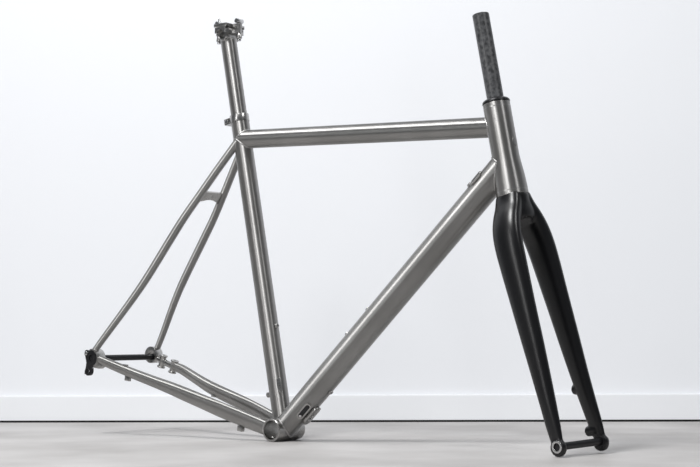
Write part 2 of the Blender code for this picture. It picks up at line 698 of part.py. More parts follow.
def make_fork():
    profile = [(0, CROWN_TOP), (HEAD_FOOT_R - 0.0006, CROWN_TOP),
               (HEAD_FOOT_R, CROWN_TOP - 0.0008), (0.0272, -0.0150), (0.0255, -0.0340),
               (0, -0.0340)]
    fork = lathe("fork_crown_and_legs", profile, STEERING)
    pieces = []
    cutters = []
    for side in (1, -1):
        rows = LEG_ROWS if side == 1 else mirrored(LEG_ROWS)
        leg = loft("fork_leg", smooth_table(rows, 17), STEERING, None, 16, 0.9)
        pieces.append(leg)
        inner = FRONT_SPACING / 2 + GAP
        end = [(0, FORK_TIP_OUTER_Y), (FORK_RIM_R - 0.0015, FORK_TIP_OUTER_Y),
               (FORK_RIM_R, FORK_TIP_OUTER_Y - 0.0015), (FORK_RIM_R, inner + 0.0012),
               (FORK_RIM_R - 0.0012, inner), (0, inner)]
        lowered = tip_place(side) @ Matrix.Translation((FORK_TIP_DROP - FORK_RIM_R, 0, 0))
        pieces.append(lathe("fork_end", end, STEERING, lowered))
        cutters.append(to_cutter(lathe("fork_end_bore", disc_profile(0.0103, 0.03, 0.08),
                                       STEERING, tip_place(side), 24)))
    for height, outward in BRAKE_BOSSES:
        centre = Vector((leg_centre(height), outward, height))
        face = centre - Vector((BRAKE_FACE_BEHIND, 0, 0))
        pieces.append(rod("brake_boss", centre, face, 0.0085, STEERING, 20))
        cutters.append(to_cutter(rod("brake_boss_bore", centre - Vector((0.008, 0, 0)),
                                     face - Vector((0.01, 0, 0)), 0.0053, STEERING, 16)))
    join(fork, *pieces)
    cutters.append(to_cutter(lathe("steerer_bore",
                                   disc_profile(STEERER_FOOT_R + GAP, -0.0145, 0.02),
                                   STEERING)))
    above = to_cutter(box("crown_trim", (0.2, 0.2, 0.04), (0, 0, CROWN_TOP + 0.02), STEERING))
    cut(fork, above, *cutters)
    finish_part(fork, "carbon")

    for side, word in ((1, "left"), (-1, "right")):
        bore = AXLE_HOLE_R
        insert = lathe("fork_tip_" + word,
                       ring_profile(0.0100, bore, FRONT_SPACING / 2,
                                    FORK_TIP_OUTER_Y + 0.0003), STEERING,
                       tip_place(side), 24)
        finish_part(insert, "steel" if side < 0 else "black_alloy")
    for (height, outward), word in zip(BRAKE_BOSSES, ("upper", "lower")):
        centre = Vector((leg_centre(height), outward, height))
        start = centre - Vector((0.0085, 0, 0))
        insert = tube("brake_insert_" + word, start,
                      centre - Vector((BRAKE_FACE_BEHIND + 0.0003, 0, 0)), 0.0050, 0.0023,
                      STEERING, 16)
        finish_part(insert, "steel")


def make_steerer():
    top = HEAD_LENGTH + STEERER_ABOVE_HEAD
    foot_bore = STEERER_FOOT_R - STEERER_WALL
    profile = [(STEERER_R - 0.0003, top), (STEERER_R, top - 0.0005), (STEERER_R, 0.0550),
               (STEERER_FOOT_R, 0.0140), (STEERER_FOOT_R, -0.0140), (foot_bore, -0.0140),
               (foot_bore, 0.0120), (STEERER_R - STEERER_WALL, 0.0530),
               (STEERER_R - STEERER_WALL, top)]
    finish_part(lathe("steerer_tube", profile, STEERING), "steerer_carbon")


def make_front_axle():
    """Screwed into the right fork end, with its head on the left."""
    place = tip_place(1)
    head = FORK_TIP_OUTER_Y + 0.0006
    tip = -FORK_TIP_OUTER_Y + 0.0020
    profile = [(0, head + 0.0050), (0.0080, head + 0.0050), (0.0092, head + 0.0035),
               (0.0092, head), (AXLE_R, head), (AXLE_R, tip + 0.0012), (0.0050, tip), (0, tip)]
    axle = lathe("front_axle", profile, STEERING, place, 24)
    socket = to_cutter(lathe("front_axle_socket", disc_profile(0.0035, head - 0.002, 0.09),
                             STEERING, place, 6))
    cut(axle, socket)
    finish_part(axle, "black_alloy")


# --- seatpost, its clamp and the seat collar ---------------------------------------------
RAIL_Y = 0.022
RAIL_R = 0.0035
RAIL_Z = 0.0150
BARREL_R = 0.0098
BARREL_HALF = 0.0190
CLAMP_BOLT_X = 0.0257
CLAMP_HALF_WIDTH = 0.0262


def make_collar():
    low = SEAT_TUBE_LENGTH - 0.0130
    high = SEAT_TUBE_LENGTH + 0.0008
    middle = (low + high) / 2
    collar = lathe("seat_collar", disc_profile(COLLAR_R, low, high), SEAT_AXIS)
    ears = box("collar_ears", (0.0140, 0.0180, 0.0115), (-0.0248, 0, middle), SEAT_AXIS)
    bore = to_cutter(lathe("collar_bore", disc_profile(SEAT_NECK_R + GAP, low - 1e-3,
                                                       high + 1e-3), SEAT_AXIS))
    slot = to_cutter(box("collar_slot", (0.022, 0.0022, 0.020), (-0.0265, 0, middle),
                         SEAT_AXIS))
    across = frame_matrix(Vector((-0.0262, 0, middle)), SIDE, Vector((1, 0, 0)))
    bolt_hole = to_cutter(lathe("collar_bolt_hole", disc_profile(0.0028, -0.02, 0.02),
                                SEAT_AXIS, across, SMALL_ROUND))
    head_hole = to_cutter(lathe("collar_head_hole", disc_profile(0.0047, -0.02, -0.0054),
                                SEAT_AXIS, across, SMALL_ROUND))
    join(collar, ears)
    cut(collar, bore, slot, bolt_hole, head_hole)
    finish_part(collar, "titanium")
    profile = [(0, 0.0085), (0.0025, 0.0085), (0.0025, -0.0057), (0.0043, -0.0057),
               (0.0043, -0.0102), (0, -0.0102)]
    bolt = lathe("collar_bolt", profile, SEAT_AXIS, across, SMALL_ROUND)
    finish_part(bolt, "steel")


def make_seatpost():
    """The post with the cross barrel that its saddle clamp turns on."""
    low = SEAT_DIR * (CLAMP_ON_SEAT - POST_LENGTH)
    post = tube("seatpost_tube", low, SEAT_DIR * CLAMP_ON_SEAT, POST_R, POST_R - POST_WALL,
                STAND)
    barrel_cutter = to_cutter(rod("barrel_cutter", CLAMP_CENTRE - SIDE * 0.03,
                                  CLAMP_CENTRE + SIDE * 0.03, BARREL_R + GAP, STAND))
    trim = to_cutter(box("post_trim", (0.06, 0.06, 0.02),
                         CLAMP_CENTRE + Vector((0, 0, 0.006)), STAND))
    cut(post, barrel_cutter, trim)
    finish_part(post, "titanium")
    barrel = tube("seatpost_barrel", CLAMP_CENTRE - SIDE * BARREL_HALF,
                  CLAMP_CENTRE + SIDE * BARREL_HALF, BARREL_R, BARREL_R - 0.0035, STAND)
    finish_part(barrel, "titanium")


def clamp_outline(middle_x):
    """A cross-shaped plan: wide across the rails, with a narrow ear for each bolt."""
    quarter = [(middle_x, -CLAMP_HALF_WIDTH), (middle_x, -0.0070), (0.0285, -0.0058),
               (0.0310, -0.0030)]
    front = quarter + [(x, -y) for x, y in reversed(quarter)]
    return front + [(-x, -y) for x, y in front]


def make_saddle_clamp():
    """Lower cradle and upper clamp hold two rails; a bolt at each end draws them together."""
    cradle_low = 0.0035
    cradle_high = RAIL_Z - 0.0004
    upper_low = RAIL_Z + 0.0004
    upper_high = RAIL_Z + 0.0068
    cradle = plate("lower_cradle", clamp_outline(0.0135), cradle_high - cradle_low,
                   SADDLE_CLAMP, Matrix.Translation((0, 0, (cradle_high + cradle_low) / 2)))
    upper = plate("upper_clamp", clamp_outline(0.0160), upper_high - upper_low,
                  SADDLE_CLAMP, Matrix.Translation((0, 0, (upper_high + upper_low) / 2)))
    rails = []
    for side in (1, -1):
        start = Vector((-0.05, RAIL_Y * side, RAIL_Z))
        end = Vector((0.05, RAIL_Y * side, RAIL_Z))
        rails.append(to_cutter(rod("rail_space", start, end, RAIL_R, SADDLE_CLAMP, 16)))
    barrel = to_cutter(rod("barrel_space", -SIDE * 0.04, SIDE * 0.04, BARREL_R + GAP,
                           SADDLE_CLAMP))
    holes = []
    for end in (1, -1):
        start = Vector((CLAMP_BOLT_X * end, 0, -0.03))
        holes.append(to_cutter(rod("clamp_bolt_hole", start, start + Vector((0, 0, 0.07)),
                                   0.0028, SADDLE_CLAMP, 16)))
    cut(cradle, *rails, barrel, *holes)
    cut(upper, *rails, *holes)
    finish_part(cradle, "titanium")
    finish_part(upper, "titanium")
    nut_z = upper_high + GAP + 0.0046
    for end, word, bolt_top in ((1, "front", nut_z + 0.0030), (-1, "rear", 0.0375)):
        place = Matrix.Translation((CLAMP_BOLT_X * end, 0, 0))
        washer_low = -0.0070
        profile = [(0, bolt_top), (0.0025, bolt_top), (0.0025, washer_low - GAP),
                   (0.0043, washer_low - GAP), (0.0043, washer_low - 0.0048),
                   (0, washer_low - 0.0048)]
        bolt = lathe("clamp_bolt_" + word, profile, SADDLE_CLAMP, place, SMALL_ROUND)
        finish_part(bolt, "steel")
        spacer_profile = [(0.0046, cradle_low - GAP), (0.0062, washer_low + 0.0010),
                          (0.0060, washer_low), (0.0028, washer_low),
                          (0.0028, cradle_low - GAP)]
        spacer = lathe("clamp_spacer_" + word, spacer_profile, SADDLE_CLAMP, place,
                       SMALL_ROUND)
        finish_part(spacer, "titanium")
        half = Vector((0, 0.0085, 0))
        centre = Vector((CLAMP_BOLT_X * end, 0, nut_z))
        nut = rod("barrel_nut_" + word, centre - half, centre + half, 0.0046, SADDLE_CLAMP, 20)
        thread = to_cutter(lathe("nut_thread_" + word, disc_profile(0.0028, 0.01, 0.05),
                                 SADDLE_CLAMP, place, SMALL_ROUND))
        finish_part(cut(nut, thread), "steel")


# --- bosses, ports and guides --------------------------------------------------------------
GUARD_BOSS_ON_SEAT = 0.0680
GUARD_BOSS_LENGTH = 0.0115
def boss_profile():
    return [(0.0040, 0.0032), (0.0040, 0.0014), (0.0056, 0.0010), (0.0056, 0),
            (0.0022, 0), (0.0022, 0.0032)]


def make_bosses():
    places = (
        ("down_tube_boss_upper", DOWN_AXIS, 0.292, 180, DOWN_TUBE_R),
        ("down_tube_boss_lower", DOWN_AXIS, 0.228, 180, DOWN_TUBE_R),
        ("down_tube_boss_under", DOWN_AXIS, 0.1285, 0, DOWN_TUBE_R),
        ("seat_tube_boss", SEAT_AXIS, 0.190, 0, SEAT_TUBE_R),
        ("down_tube_screw", DOWN_AXIS, 0.598, -152, DOWN_TUBE_R),
    )
    for name, axis, along, around, radius in places:
        angle = radians(around)
        outward = Vector((cos(angle), sin(angle), 0))
        place = frame_matrix(outward * (radius + GAP) + Vector((0, 0, along)), outward,
                             Vector((0, 0, 1)))
        boss = lathe(name, boss_profile(), axis, place, SMALL_ROUND)
        finish_part(boss, "titanium")


def slot_outline(length, width, count=7):
    half = (length - width) / 2
    return arc((half, 0), width / 2, -90, 90, count) + arc((-half, 0), width / 2, 90, 270, count)


def surface_place(along, around, radius):
    """Local X along the tube, Z out of it; the angle goes from the tube's local X to left."""
    angle = radians(around)
    outward = Vector((cos(angle), sin(angle), 0))
    return frame_matrix(outward * radius + Vector((0, 0, along)), outward, Vector((0, 0, 1)))


def make_ports(down_cutter, seat_cutter):
    rims = (
        ("lower_port_rim", "lower_port_cover", 0.0702, -47, 0.0372, 0.0128, 0.0240),
        ("upper_port_rim", "upper_port_stop", 0.6175, -134, 0.0280, 0.0120, 0.0235),
    )
    for rim_name, cover_name, along, around, length, width, radius in rims:
        place = surface_place(along, around, radius)
        rim = plate(rim_name, slot_outline(length, width), 0.0050, DOWN_AXIS, place)
        inner = plate(rim_name + "_slot", slot_outline(length - 0.0045, width - 0.0045),
                      0.0300, DOWN_AXIS, place)
        cut(rim, to_cutter(inner), down_cutter)
        finish_part(rim, "titanium")
        cover = plate(cover_name, slot_outline(length - 0.0052, width - 0.0052), 0.0040,
                      DOWN_AXIS, place)
        cut(cover, down_cutter)
        finish_part(cover, "black_alloy")
    place = surface_place(0.0702, -47, 0.0240) @ Matrix.Translation((-0.0118, 0, 0.0023))
    screw = lathe("lower_port_screw", disc_profile(0.0030, 0, 0.0014), DOWN_AXIS, place,
                  SMALL_ROUND)
    finish_part(screw, "steel")

    under = surface_place(0.0670, 0, 0.0250)
    cover = plate("cable_exit_cover", slot_outline(0.0460, 0.0170), 0.0060, DOWN_AXIS, under)
    finish_part(cut(cover, down_cutter), "titanium")
    for i, offset in enumerate((-0.0085, 0.0015)):
        screw = lathe("cable_cover_screw_%d" % (i + 1), disc_profile(0.0030, 0, 0.0018),
                      DOWN_AXIS, under @ Matrix.Translation((offset, 0, 0.0033)), SMALL_ROUND)
        finish_part(screw, "steel")

    mount = plate("front_derailleur_mount", slot_outline(0.0270, 0.0085), 0.0040, SEAT_AXIS,
                  surface_place(0.0800, -40, SEAT_TUBE_R + 0.0010))
    finish_part(cut(mount, seat_cutter), "titanium")
    start = Vector((-SEAT_TUBE_R + 0.002, 0, GUARD_BOSS_ON_SEAT))
    boss = rod("mudguard_boss", start, start - Vector((GUARD_BOSS_LENGTH, 0, 0)), 0.0052,
               SEAT_AXIS, SMALL_ROUND)
    hole = to_cutter(rod("guard_boss_hole", start - Vector((0.004, 0, 0)),
                         start - Vector((0.02, 0, 0)), 0.0023, SEAT_AXIS, SMALL_ROUND))
    finish_part(cut(boss, seat_cutter, hole), "titanium")


def make_chainstay_guides(chain_cutters):
    guides = (
        ("cable_hook_rear", "right", (0.0130, 0.0050, 0.0090), (-0.3400, -0.0765, 0.0482)),
        ("cable_hook_front", "right", (0.0110, 0.0080, 0.0100), (-0.0734, -0.0360, -0.0085)),
        ("rack_boss_right", "right", (0.0090, 0.0070, 0.0060), (-0.3490, -0.0775, 0.0716)),
        ("chainstay_port_left", "left", (0.0100, 0.0040, 0.0060), (-0.2210, 0.0420, 0.0285)),
    )
    for name, side, size, centre in guides:
        guide = box(name, size, centre, STAND)
        finish_part(cut(guide, chain_cutters[side]), "titanium")


def build():
    head_cutter = make_head()
    shell_cutter, seat_cutter, down_cutter = make_main_tubes(head_cutter)
    hub_cutters = make_hub_cutters()
    chain_cutters, seatstay_cutters = make_stays(shell_cutter, seat_cutter, hub_cutters)
    make_bridge(seatstay_cutters)
    make_right_dropout(chain_cutters["right"], seatstay_cutters["right"])
    make_left_dropout()
    make_hanger()
    make_rear_axle()
    make_fork()
    make_steerer()
    make_front_axle()
    make_collar()
    make_seatpost()
    make_saddle_clamp()
    make_bosses()
    make_ports(down_cutter, seat_cutter)
    make_chainstay_guides(chain_cutters)


build()
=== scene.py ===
"""Looks of the titanium bicycle frame: fine surfaces, weld beads, finishes, room and light.

Everything is laid out in the riding frame of the design (origin at the centre of the bottom
bracket shell, X forward, Y left, Z up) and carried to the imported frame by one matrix.
"""

import json
from math import atan2, cos, pi, radians, sin, sqrt

import bmesh
import bpy
import numpy as np
from mathutils import Matrix, Vector


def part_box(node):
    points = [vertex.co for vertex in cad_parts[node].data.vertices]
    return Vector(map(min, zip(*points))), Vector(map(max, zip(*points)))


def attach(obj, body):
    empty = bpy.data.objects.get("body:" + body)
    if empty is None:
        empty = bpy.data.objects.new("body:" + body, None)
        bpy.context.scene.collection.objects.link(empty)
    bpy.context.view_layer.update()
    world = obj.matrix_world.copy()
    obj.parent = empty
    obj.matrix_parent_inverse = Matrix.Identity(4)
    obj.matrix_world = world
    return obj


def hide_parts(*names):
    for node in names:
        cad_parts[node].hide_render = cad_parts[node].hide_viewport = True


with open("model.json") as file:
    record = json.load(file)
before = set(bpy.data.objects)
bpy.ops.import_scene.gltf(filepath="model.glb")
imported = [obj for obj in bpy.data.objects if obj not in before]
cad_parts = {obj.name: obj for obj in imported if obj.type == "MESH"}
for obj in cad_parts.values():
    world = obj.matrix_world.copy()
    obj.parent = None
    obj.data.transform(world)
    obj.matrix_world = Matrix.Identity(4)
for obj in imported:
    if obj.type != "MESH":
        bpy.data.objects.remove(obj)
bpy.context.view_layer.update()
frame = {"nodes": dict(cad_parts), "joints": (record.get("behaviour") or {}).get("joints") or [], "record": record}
SCENE = bpy.context.scene
JOINTS = {joint["name"]: joint for joint in frame["joints"]}

# --- design numbers, the same as the part's own -------------------------------------------
SHELL_R = 0.0208
SHELL_BORE_R = 0.0173
SHELL_WIDTH = 0.073
CHAINSTAY_LENGTH = 0.438
SHELL_DROP = 0.076
SEAT_TUBE_R = 0.01745
SEAT_BORE_R = 0.01575
SEAT_TUBE_LENGTH = 0.601
SEAT_NECK = 0.0140
SEAT_NECK_R = 0.0166
TOP_TUBE_R = 0.01745
TOP_TUBE_ON_SEAT = 0.554
TOP_TUBE_BELOW_HEAD_TOP = 0.0405
DOWN_TUBE_R = 0.02375
DOWN_TUBE_ABOVE_CROWN = 0.0574
HEAD_LENGTH = 0.160
HEAD_R = 0.0230
HEAD_FOOT_R = 0.02725
LOWER_CUP_R = 0.0259
LOWER_CUP_DEPTH = 0.0098
HEAD_BORE_R = 0.0205
UPPER_CUP_R = 0.0220
UPPER_CUP_HEIGHT = 0.1500
PLATE_HEIGHT = 0.0885
PLATE_HALF_HEIGHT = 0.0090
PLATE_HALF_TURN = 0.30
STEERER_ABOVE_HEAD = 0.158
STEERER_R = 0.0143
STEERER_WALL = 0.0028
FORK_LENGTH = 0.422
FORK_RAKE = 0.047
FORK_DROP = sqrt(FORK_LENGTH ** 2 - FORK_RAKE ** 2)
STEER_TURN = radians(-7.8)
FORK_TIP_DROP = 0.0157
FORK_RIM_R = 0.0140
FORK_TIP_OUTER_Y = 0.0602
DROPOUT_R = 0.0183
LEFT_HOOD_R = 0.0170
LEFT_HOOD_CENTRE = Vector((-0.0018, 0.0042, 0))
POST_R = 0.01545
POST_LENGTH = 0.350
CLAMP_ON_SEAT = 0.760
BARREL_R = 0.0098
BARREL_HALF_WIDTH = 0.0190
BARREL_BORE_R = 0.0063

SIDE = Vector((0, 1, 0))
SEAT_ANGLE = radians(72.2)
HEAD_ANGLE = radians(72.0)
SEAT_DIR = Vector((-cos(SEAT_ANGLE), 0, sin(SEAT_ANGLE)))
SEAT_FRONT = Vector((sin(SEAT_ANGLE), 0, cos(SEAT_ANGLE)))
HEAD_DIR = Vector((-cos(HEAD_ANGLE), 0, sin(HEAD_ANGLE)))
HEAD_FRONT = Vector((sin(HEAD_ANGLE), 0, cos(HEAD_ANGLE)))


def frame_matrix(origin, z_axis, x_hint):
    z = z_axis.normalized()
    y = z.cross(x_hint).normalized()
    x = y.cross(z)
    rotation = Matrix((x, y, z)).transposed()
    return Matrix.Translation(origin) @ rotation.to_4x4()


def standing_frame():
    """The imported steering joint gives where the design's riding frame has come to stand."""
    axis = Vector(JOINTS["steering"]["axis"]).normalized()
    pitch = atan2(HEAD_DIR.z, -HEAD_DIR.x) - atan2(axis.z, -axis.x)
    low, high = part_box("bottom_bracket_shell")
    centre = (low + high) / 2
    return Matrix.Translation(centre) @ Matrix.Rotation(-pitch, 4, "Y")


STAND = standing_frame()
CROWN = STAND.inverted() @ Vector(JOINTS["steering"]["pos_m"])
HEAD_TOP = CROWN + HEAD_DIR * HEAD_LENGTH
TOP_REAR = SEAT_DIR * TOP_TUBE_ON_SEAT
TOP_FRONT = HEAD_TOP - HEAD_DIR * TOP_TUBE_BELOW_HEAD_TOP
DOWN_FRONT = CROWN + HEAD_DIR * DOWN_TUBE_ABOVE_CROWN
DOWN_DIR = DOWN_FRONT.normalized()
REAR_AXLE = Vector((-sqrt(CHAINSTAY_LENGTH ** 2 - SHELL_DROP ** 2), 0, SHELL_DROP))
HEAD_AXIS = STAND @ frame_matrix(CROWN, HEAD_DIR, HEAD_FRONT)
STEERING = HEAD_AXIS @ Matrix.Rotation(STEER_TURN, 4, "Z")
SEAT_AXIS = STAND @ frame_matrix(Vector((0, 0, 0)), SEAT_DIR, SEAT_FRONT)
CLAMP_CENTRE = STAND.inverted() @ Vector(JOINTS["saddle_tilt"]["pos_m"])


# --- finishes ---------------------------------------------------------------------------
def new_material(name, colour, metallic, roughness):
    material = bpy.data.materials.new(name)
    material.use_nodes = True
    shader = material.node_tree.nodes["Principled BSDF"]
    shader.inputs["Base Color"].default_value = (*colour, 1)
    shader.inputs["Metallic"].default_value = metallic
    shader.inputs["Roughness"].default_value = roughness
    return material, shader


def add_noise(material, scale, detail=3.0):
    nodes = material.node_tree.nodes
    noise = nodes.new("ShaderNodeTexNoise")
    noise.inputs["Scale"].default_value = scale
    noise.inputs["Detail"].default_value = detail
    place = nodes.new("ShaderNodeTexCoord")
    material.node_tree.links.new(place.outputs["Object"], noise.inputs["Vector"])
    return noise


def vary(material, noise, socket, low, high):
    """Drive a number of the shader between two values by a noise."""
    spread = material.node_tree.nodes.new("ShaderNodeMapRange")
    spread.inputs["From Min"].default_value = 0.3
    spread.inputs["From Max"].default_value = 0.7
    spread.inputs["To Min"].default_value = low
    spread.inputs["To Max"].default_value = high
    links = material.node_tree.links
    links.new(noise.outputs["Fac"], spread.inputs["Value"])
    links.new(spread.outputs["Result"], socket)


def tint(material, noise, socket, low, high, start=0.35, end=0.65):
    """Drive a colour of the shader between two colours by a noise."""
    ramp = material.node_tree.nodes.new("ShaderNodeValToRGB")
    ramp.color_ramp.elements[0].position = start
    ramp.color_ramp.elements[1].position = end
    ramp.color_ramp.elements[0].color = (*low, 1)
    ramp.color_ramp.elements[1].color = (*high, 1)
    links = material.node_tree.links
    links.new(noise.outputs["Fac"], ramp.inputs["Fac"])
    links.new(ramp.outputs["Color"], socket)


def roughen(material, shader, noise, strength, distance):
    bump = material.node_tree.nodes.new("ShaderNodeBump")
    bump.inputs["Strength"].default_value = strength
    bump.inputs["Distance"].default_value = distance
    links = material.node_tree.links
    links.new(noise.outputs["Fac"], bump.inputs["Height"])
    links.new(bump.outputs["Normal"], shader.inputs["Normal"])


def make_titanium(name, low, high, rough_low, rough_high, brushed=False):
    material, shader = new_material(name, high, 1.0, rough_high)
    broad = add_noise(material, 14.0)
    tint(material, broad, shader.inputs["Base Color"], low, high)
    grain = add_noise(material, 1400.0, 2.0)
    vary(material, grain, shader.inputs["Roughness"], rough_low, rough_high)
    roughen(material, shader, grain, 0.06, 0.0002)
    if brushed:
        tangent = material.node_tree.nodes.new("ShaderNodeTangent")
        tangent.direction_type = "UV_MAP"
        tangent.uv_map = "along"
        material.node_tree.links.new(tangent.outputs["Tangent"], shader.inputs["Tangent"])
        shader.inputs["Anisotropic"].default_value = 1.0
    return material


def make_black(name, colour, metallic, rough_low, rough_high):
    material, shader = new_material(name, colour, metallic, rough_high)
    grain = add_noise(material, 700.0, 2.0)
    vary(material, grain, shader.inputs["Roughness"], rough_low, rough_high)
    return material


def make_steerer_carbon():
    material, shader = new_material("bare_carbon", (0.045, 0.047, 0.050), 0.0, 0.38)
    mottle = add_noise(material, 160.0, 4.0)
    tint(material, mottle, shader.inputs["Base Color"], (0.030, 0.031, 0.033),
         (0.090, 0.092, 0.097))
    vary(material, mottle, shader.inputs["Roughness"], 0.30, 0.45)
    return material


TITANIUM = make_titanium("satin_titanium", (0.40, 0.395, 0.385), (0.46, 0.455, 0.445), 0.24, 0.32)
BRUSHED = make_titanium("brushed_titanium", (0.40, 0.395, 0.385), (0.46, 0.455, 0.445), 0.46, 0.52,
                        brushed=True)
WELD = make_titanium("titanium_weld", (0.42, 0.415, 0.41), (0.52, 0.515, 0.505), 0.28, 0.38)
BADGE = make_titanium("blasted_titanium", (0.30, 0.295, 0.29), (0.35, 0.345, 0.34), 0.40, 0.48)
STEEL = make_titanium("machined_steel", (0.55, 0.55, 0.55), (0.66, 0.66, 0.66), 0.16, 0.24)
CARBON = make_black("satin_carbon", (0.004, 0.004, 0.005), 0.0, 0.28, 0.34)
ALLOY = make_black("black_anodised", (0.016, 0.016, 0.018), 0.3, 0.28, 0.38)
# Near-black finish used only for the painted shadow strip at the foot of the baseboard.
PAINTED_SHADE = make_black("painted_shade_strip", (0.006, 0.006, 0.006), 0.0, 0.7, 0.8)
STEERER = make_steerer_carbon()
BY_SLOT = {"titanium": TITANIUM, "steel": STEEL, "black_alloy": ALLOY, "carbon": CARBON,
           "steerer_carbon": STEERER}
SLOT_OF = {part["node"]: part["material_slot"] for part in frame["record"]["subparts"]}


# --- building surfaces ------------------------------------------------------------------
class Shape:
    """Collects grids of points and turned profiles into one mesh."""

    def __init__(self):
        self.form = bmesh.new()
        self.along = self.form.loops.layers.uv.new("along")

    def grid(self, points, capped=(True, True)):
        """Rings of points: closed around each ring, with a fan over each open end.

        The map "along" runs its first direction from ring to ring, for the metal's grain.
        """
        rings = [[self.form.verts.new(p) for p in ring] for ring in points]
        steps = len(rings[0])
        for k, (one, two) in enumerate(zip(rings, rings[1:])):
            for i in range(steps):
                j = (i + 1) % steps
                face = self.form.faces.new((one[i], one[j], two[j], two[i]))
                corners = ((k, i), (k, i + 1), (k + 1, i + 1), (k + 1, i))
                for loop, (along, around) in zip(face.loops, corners):
                    loop[self.along].uv = (along / len(rings), around / steps)
        for end, wanted in ((rings[0], capped[0]), (rings[-1], capped[1])):
            if wanted:
                centre = self.form.verts.new(sum((v.co for v in end), Vector()) / steps)
                for i in range(steps):
                    self.form.faces.new((end[i], end[(i + 1) % steps], centre))
        return self

    def turned(self, profile, matrix, steps=72):
        """A closed profile of (radius, height) about local Z, as a ring of solid matter."""
        rings = []
        for radius, height in profile:
            rings.append([matrix @ Vector((radius * cos(2 * pi * i / steps),
                                           radius * sin(2 * pi * i / steps), height))
                          for i in range(steps)])
        if profile[0][0] < 1e-6 or profile[-1][0] < 1e-6:
            rings = [ring for ring, point in zip(rings, profile) if point[0] > 1e-6]
            return self.grid(rings)
        return self.grid([*rings, rings[0]], (False, False))

    def object(self, name, material, body, *nodes, angle=38):
        bmesh.ops.remove_doubles(self.form, verts=self.form.verts, dist=1e-6)
        bmesh.ops.recalc_face_normals(self.form, faces=self.form.faces)
        mesh = bpy.data.meshes.new(name)
        self.form.to_mesh(mesh)
        self.form.free()
        mesh.shade_smooth()
        mesh.set_sharp_from_angle(angle=radians(angle))
        thing = bpy.data.objects.new(name, mesh)
        SCENE.collection.objects.link(thing)
        return settle(thing, material, body, *nodes)


def settle(thing, material, body, *nodes):
    thing.data.materials.clear()
    thing.data.materials.append(material)
    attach(thing, body)
    if nodes:
        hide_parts(*nodes)
    return thing


def spline(rows, count):
    """Rows resampled at even length along a Catmull-Rom curve through them."""
    rows = np.array(rows, float)
    padded = np.vstack([rows[0], rows, rows[-1]])
    fine = []
    for a, b, c, d in zip(padded, padded[1:], padded[2:], padded[3:]):
        for t in np.arange(0, 1, 1 / 24):
            fine.append(0.5 * (2 * b + (c - a) * t + (2 * a - 5 * b + 4 * c - d) * t * t
                               + (3 * b - a - 3 * c + d) * t ** 3))
    fine.append(rows[-1])
    fine = np.array(fine)
    steps = np.linalg.norm(np.diff(fine[:, :3], axis=0), axis=1)
    length = np.concatenate([[0], np.cumsum(steps)])
    at = np.linspace(0, length[-1], count)
    return np.array([np.interp(at, length, column) for column in fine.T]).T


def sections(rows, count=90, steps=56, power=1.0):
    """Rings of an oval loft: each row is centre x, y, z, half width, half height."""
    rows = spline(rows, count) if count != len(rows) else np.array(rows, float)
    rings = []
    for i, row in enumerate(rows):
        low = Vector(rows[max(i - 1, 0)][:3])
        high = Vector(rows[min(i + 1, len(rows) - 1)][:3])
        along = (high - low).normalized()
        across = (SIDE - along * SIDE.dot(along)).normalized()
        upward = across.cross(along).normalized()
        ring = []
        for k in range(steps):
            c = cos(2 * pi * k / steps)
            s = sin(2 * pi * k / steps)
            x = row[3] * abs(c) ** power * (1 if c >= 0 else -1)
            z = row[4] * abs(s) ** power * (1 if s >= 0 else -1)
            ring.append(Vector(row[:3]) + across * x + upward * z)
        rings.append(ring)
    return rings


def straight(start, end, radius, count=60):
    rows = [[*(start.lerp(end, i / (count - 1))), radius, radius] for i in range(count)]
    return sections(rows, count)


def within(point, direction, radius, low=-9, high=9):
    """A test for points inside a round tube."""
    direction = direction.normalized()

    def test(p):
        offset = p - point
        along = offset.dot(direction)
        return low < along < high and (offset - direction * along).length < radius

    return test


def coped(rings, start=None, end=None):
    """Each line along a tube is trimmed where it leaves its neighbour at either end."""
    count = len(rings)
    lines = []
    for line in zip(*rings):
        spans = [0.0, count - 1.0]
        for which, test, order in ((0, start, 1), (1, end, -1)):
            k = 0 if order == 1 else count - 1
            if test is None or not test(line[k]):
                continue
            while 0 <= k + order < count and test(line[k]):
                k += order
            inner, outer = k - order, k
            low, high = 0.0, 1.0
            for _ in range(16):
                middle = (low + high) / 2
                if test(line[inner].lerp(line[outer], middle)):
                    low = middle
                else:
                    high = middle
            spans[which] = inner + order * high
        trimmed = []
        for i in range(count):
            at = spans[0] + (spans[1] - spans[0]) * i / (count - 1)
            k = min(int(at), count - 2)
            trimmed.append(line[k].lerp(line[k + 1], at - k))
        lines.append(trimmed)
    return [list(ring) for ring in zip(*lines)]


def stood(rings, matrix=None):
    matrix = matrix or STAND
    return [[matrix @ p for p in ring] for ring in rings]


def bead(name, loop, body, radius=0.0017, pitch=0.0024):
    """A weld bead along a closed seam, with the ripples of its puddles."""
    loop = np.array([list(p) for p in loop])
    closed = np.vstack([loop, loop[0]])
    length = np.concatenate([[0], np.cumsum(np.linalg.norm(np.diff(closed, axis=0), axis=1))])
    puddles = max(8, round(length[-1] / pitch))
    count = puddles * 5
    at = np.linspace(0, length[-1], count, endpoint=False)
    line = np.array([np.interp(at, length, column) for column in closed.T]).T
    rings = []
    for i in range(count):
        along = Vector(line[(i + 1) % count] - line[i - 1]).normalized()
        side = along.orthogonal().normalized() if i == 0 else (side - along * side.dot(along))
        side.normalize()
        up = along.cross(side)
        ripple = radius * (0.84 + 0.16 * abs(sin(pi * puddles * i / count)))
        rings.append([Vector(line[i]) + (side * cos(2 * pi * k / 10) + up * sin(2 * pi * k / 10))
                      * ripple for k in range(10)])
    finish_bead(Shape().grid(rings, (False, False)), rings, name, body)


